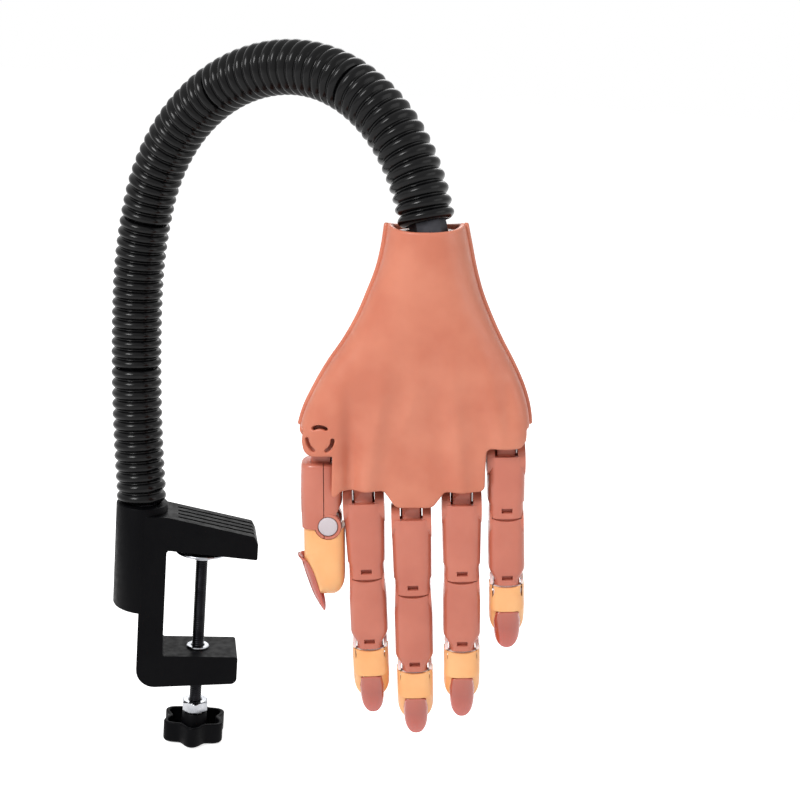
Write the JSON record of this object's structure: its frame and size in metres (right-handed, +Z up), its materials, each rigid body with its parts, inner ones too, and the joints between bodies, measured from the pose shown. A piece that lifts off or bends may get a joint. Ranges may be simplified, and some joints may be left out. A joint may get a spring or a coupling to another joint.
{
  "type": "nail practice hand",
  "caption": "Jointed practice hand with press-in nails, hung from a ribbed flexible arm on a screw clamp that grips a table edge.",
  "frame": {"origin": "on the clamp screw's axis, in the underside of the upper jaw, where the table's top face lies", "axes": "+X from the clamp's column to the ends of its jaws, -Y the side from which the hand's back is seen, +Z up"},
  "size_m": [0.1636, 0.1264, 0.3093],
  "materials": {
    "clamp_black": "satin black",
    "hose_black": "glossy black, ribbed",
    "chrome": "bright plated",
    "link_metal": "plain metal, hidden in the hose",
    "pin_steel": "plain steel",
    "pale_plastic": "pale, slightly translucent",
    "shell_plastic": "skin-coloured, satin",
    "finger_plastic": "darker skin colour, satin",
    "tip_plastic": "pale peach, satin",
    "nail_plastic": "translucent reddish brown, glossy"
  },
  "bodies": {
    "clamp": {"clamp_frame": "clamp_black", "jaw_thread_insert": "chrome", "gooseneck_core_1": "link_metal", "hose_1": "hose_black"},
    "pressure_disc": {"pressure_disc": "chrome"},
    "screw": {"clamp_screw": "chrome", "knob": "clamp_black", "knob_lock_nut": "chrome"},
    "arm_2": {"gooseneck_core_2": "link_metal", "hose_2": "hose_black"},
    "arm_3": {"gooseneck_core_3": "link_metal", "hose_3": "hose_black"},
    "arm_4": {"gooseneck_core_4": "link_metal", "hose_4": "hose_black"},
    "arm_5": {"gooseneck_core_5": "link_metal", "hose_5": "hose_black"},
    "hand": {"wrist_plug": "pale_plastic", "back_shell": "shell_plastic", "palm_shell": "shell_plastic", "shell_screw_1": "pin_steel", "shell_screw_2": "pin_steel"},
    "index_base": {"index_knuckle": "finger_plastic"},
    "index_upper": {"index_proximal": "finger_plastic"},
    "index_mid": {"index_middle": "finger_plastic", "index_middle_pin": "pin_steel"},
    "index_tip": {"index_tip_core": "pale_plastic", "index_tip_cover": "tip_plastic", "index_end_pin": "pin_steel"},
    "index_nail": {"index_nail": "nail_plastic"},
    "middle_base": {"middle_knuckle": "finger_plastic"},
    "middle_upper": {"middle_proximal": "finger_plastic"},
    "middle_mid": {"middle_middle": "finger_plastic", "middle_middle_pin": "pin_steel"},
    "middle_tip": {"middle_tip_core": "pale_plastic", "middle_tip_cover": "tip_plastic", "middle_end_pin": "pin_steel"},
    "middle_nail": {"middle_nail": "nail_plastic"},
    "ring_base": {"ring_knuckle": "finger_plastic"},
    "ring_upper": {"ring_proximal": "finger_plastic"},
    "ring_mid": {"ring_middle": "finger_plastic", "ring_middle_pin": "pin_steel"},
    "ring_tip": {"ring_tip_core": "pale_plastic", "ring_tip_cover": "tip_plastic", "ring_end_pin": "pin_steel"},
    "ring_nail": {"ring_nail": "nail_plastic"},
    "little_base": {"little_knuckle": "finger_plastic"},
    "little_upper": {"little_proximal": "finger_plastic"},
    "little_mid": {"little_middle": "finger_plastic", "little_middle_pin": "pin_steel"},
    "little_tip": {"little_tip_core": "pale_plastic", "little_tip_cover": "tip_plastic", "little_end_pin": "pin_steel"},
    "little_nail": {"little_nail": "nail_plastic"},
    "thumb": {"thumb_swivel": "finger_plastic", "thumb_back_half": "finger_plastic", "thumb_front_half": "finger_plastic", "thumb_pin": "pale_plastic"},
    "thumb_tip": {"thumb_tip_core": "pale_plastic", "thumb_tip_cover": "tip_plastic"},
    "thumb_nail": {"thumb_nail": "nail_plastic"}
  },
  "joints": [
    {"name": "screw_travel", "type": "slide", "parent": "clamp", "child": "pressure_disc", "axis": [0, 0, -1], "range_m": [0, 0.039]},
    {"name": "screw_turn", "type": "hinge", "parent": "pressure_disc", "child": "screw", "pos_m": [0, 0, 0], "axis": [0, 0, 1], "range_deg": [0, 14040]},
    {"name": "gooseneck_1", "type": "hinge", "parent": "clamp", "child": "arm_2", "pos_m": [-0.03138, 0.00452, 0.0791], "axis": [0.6909, 0.723, 0], "range_deg": [-20, 12], "deforming": ["hose_1", "hose_2"]},
    {"name": "gooseneck_2", "type": "hinge", "parent": "arm_2", "child": "arm_3", "pos_m": [-0.02985, 0.00306, 0.14213], "axis": [0.71, -0.6785, -0.1884], "range_deg": [-20, 20], "deforming": ["hose_2", "hose_3"]},
    {"name": "gooseneck_3", "type": "hinge", "parent": "arm_3", "child": "arm_4", "pos_m": [-0.003, -0.0226, 0.19857], "axis": [0.6909, 0.723, 0], "range_deg": [-20, 15], "deforming": ["hose_3", "hose_4"]},
    {"name": "gooseneck_4", "type": "hinge", "parent": "arm_4", "child": "arm_5", "pos_m": [0.04416, -0.06767, 0.20508], "axis": [-0.2846, 0.2719, -0.9193], "range_deg": [-20, 20], "deforming": ["hose_4", "hose_5"]},
    {"name": "wrist_twist", "type": "hinge", "parent": "arm_5", "child": "hand", "pos_m": [0.07205, -0.09432, 0.15957], "axis": [0.252, -0.2408, -0.9373], "range_deg": [-90, 90]},
    {"name": "index_spread", "type": "hinge", "parent": "hand", "child": "index_base", "pos_m": [0.05534, -0.09197, 0.06313], "axis": [-0.1392, -0.9903, 0], "range_deg": [-0.3, 1.8]},
    {"name": "index_knuckle_bend", "type": "hinge", "parent": "index_base", "child": "index_upper", "pos_m": [0.05668, -0.09216, 0.0512], "axis": [0.9839, -0.1383, 0.1132], "range_deg": [0, 80]},
    {"name": "index_middle_bend", "type": "hinge", "parent": "index_upper", "child": "index_mid", "pos_m": [0.06006, -0.09263, 0.0213], "axis": [0.9839, -0.1383, 0.1132], "range_deg": [0, 80]},
    {"name": "index_end_bend", "type": "hinge", "parent": "index_mid", "child": "index_tip", "pos_m": [0.06323, -0.09308, -0.00682], "axis": [0.9839, -0.1383, 0.1132], "range_deg": [0, 45]},
    {"name": "index_nail_pull", "type": "slide", "parent": "index_tip", "child": "index_nail", "axis": [-0.0977, -0.9467, -0.307], "range_m": [0, 0.006]},
    {"name": "middle_spread", "type": "hinge", "parent": "hand", "child": "middle_base", "pos_m": [0.07375, -0.09456, 0.05821], "axis": [-0.1392, -0.9903, 0], "range_deg": [-1.8, 1.8]},
    {"name": "middle_knuckle_bend", "type": "hinge", "parent": "middle_base", "child": "middle_upper", "pos_m": [0.07493, -0.09472, 0.04627], "axis": [0.9854, -0.1385, 0.0993], "range_deg": [0, 80]},
    {"name": "middle_middle_bend", "type": "hinge", "parent": "middle_upper", "child": "middle_mid", "pos_m": [0.0779, -0.09514, 0.01622], "axis": [0.9854, -0.1385, 0.0993], "range_deg": [0, 80]},
    {"name": "middle_end_bend", "type": "hinge", "parent": "middle_mid", "child": "middle_tip", "pos_m": [0.08096, -0.09557, -0.01483], "axis": [0.9854, -0.1385, 0.0993], "range_deg": [0, 45]},
    {"name": "middle_nail_pull", "type": "slide", "parent": "middle_tip", "child": "middle_nail", "axis": [-0.102, -0.9461, -0.3075], "range_m": [0, 0.006]},
    {"name": "ring_spread", "type": "hinge", "parent": "hand", "child": "ring_base", "pos_m": [0.09225, -0.09716, 0.06534], "axis": [-0.1392, -0.9903, 0], "range_deg": [-1.8, 2]},
    {"name": "ring_knuckle_bend", "type": "hinge", "parent": "ring_base", "child": "ring_upper", "pos_m": [0.09326, -0.0973, 0.05338], "axis": [0.9866, -0.1387, 0.0854], "range_deg": [0, 80]},
    {"name": "ring_middle_bend", "type": "hinge", "parent": "ring_upper", "child": "ring_mid", "pos_m": [0.09583, -0.09766, 0.02319], "axis": [0.9866, -0.1387, 0.0854], "range_deg": [0, 80]},
    {"name": "ring_end_bend", "type": "hinge", "parent": "ring_mid", "child": "ring_tip", "pos_m": [0.09823, -0.098, -0.00511], "axis": [0.9866, -0.1387, 0.0854], "range_deg": [0, 45]},
    {"name": "ring_nail_pull", "type": "slide", "parent": "ring_tip", "child": "ring_nail", "axis": [-0.1062, -0.9455, -0.3079], "range_m": [0, 0.006]},
    {"name": "little_spread", "type": "hinge", "parent": "hand", "child": "little_base", "pos_m": [0.10701, -0.09923, 0.08541], "axis": [-0.1392, -0.9903, 0], "range_deg": [-1.8, 12]},
    {"name": "little_knuckle_bend", "type": "hinge", "parent": "little_base", "child": "little_upper", "pos_m": [0.10815, -0.09939, 0.07346], "axis": [0.9857, -0.1385, 0.0958], "range_deg": [0, 80]},
    {"name": "little_middle_bend", "type": "hinge", "parent": "little_upper", "child": "little_mid", "pos_m": [0.11046, -0.09972, 0.04927], "axis": [0.9857, -0.1385, 0.0958], "range_deg": [0, 80]},
    {"name": "little_end_bend", "type": "hinge", "parent": "little_mid", "child": "little_tip", "pos_m": [0.11299, -0.10007, 0.0227], "axis": [0.9857, -0.1385, 0.0958], "range_deg": [0, 45]},
    {"name": "little_nail_pull", "type": "slide", "parent": "little_tip", "child": "little_nail", "axis": [-0.103, -0.9459, -0.3076], "range_m": [0, 0.006]},
    {"name": "thumb_swing", "type": "hinge", "parent": "hand", "child": "thumb", "pos_m": [0.0388, -0.08965, 0.07802], "axis": [0.1392, 0.9903, 0], "range_deg": [0, 40]},
    {"name": "thumb_bend", "type": "hinge", "parent": "thumb", "child": "thumb_tip", "pos_m": [0.04394, -0.09037, 0.04362], "axis": [-0.1392, -0.9903, 0], "range_deg": [0, 3]},
    {"name": "thumb_nail_pull", "type": "slide", "parent": "thumb_tip", "child": "thumb_nail", "axis": [-0.9162, 0.1288, -0.3795], "range_m": [0, 0.006]}
  ],
  "couplings": [
    {"joint": "screw_turn", "follows": "screw_travel", "rad_per_m": 6283.2}
  ]
}
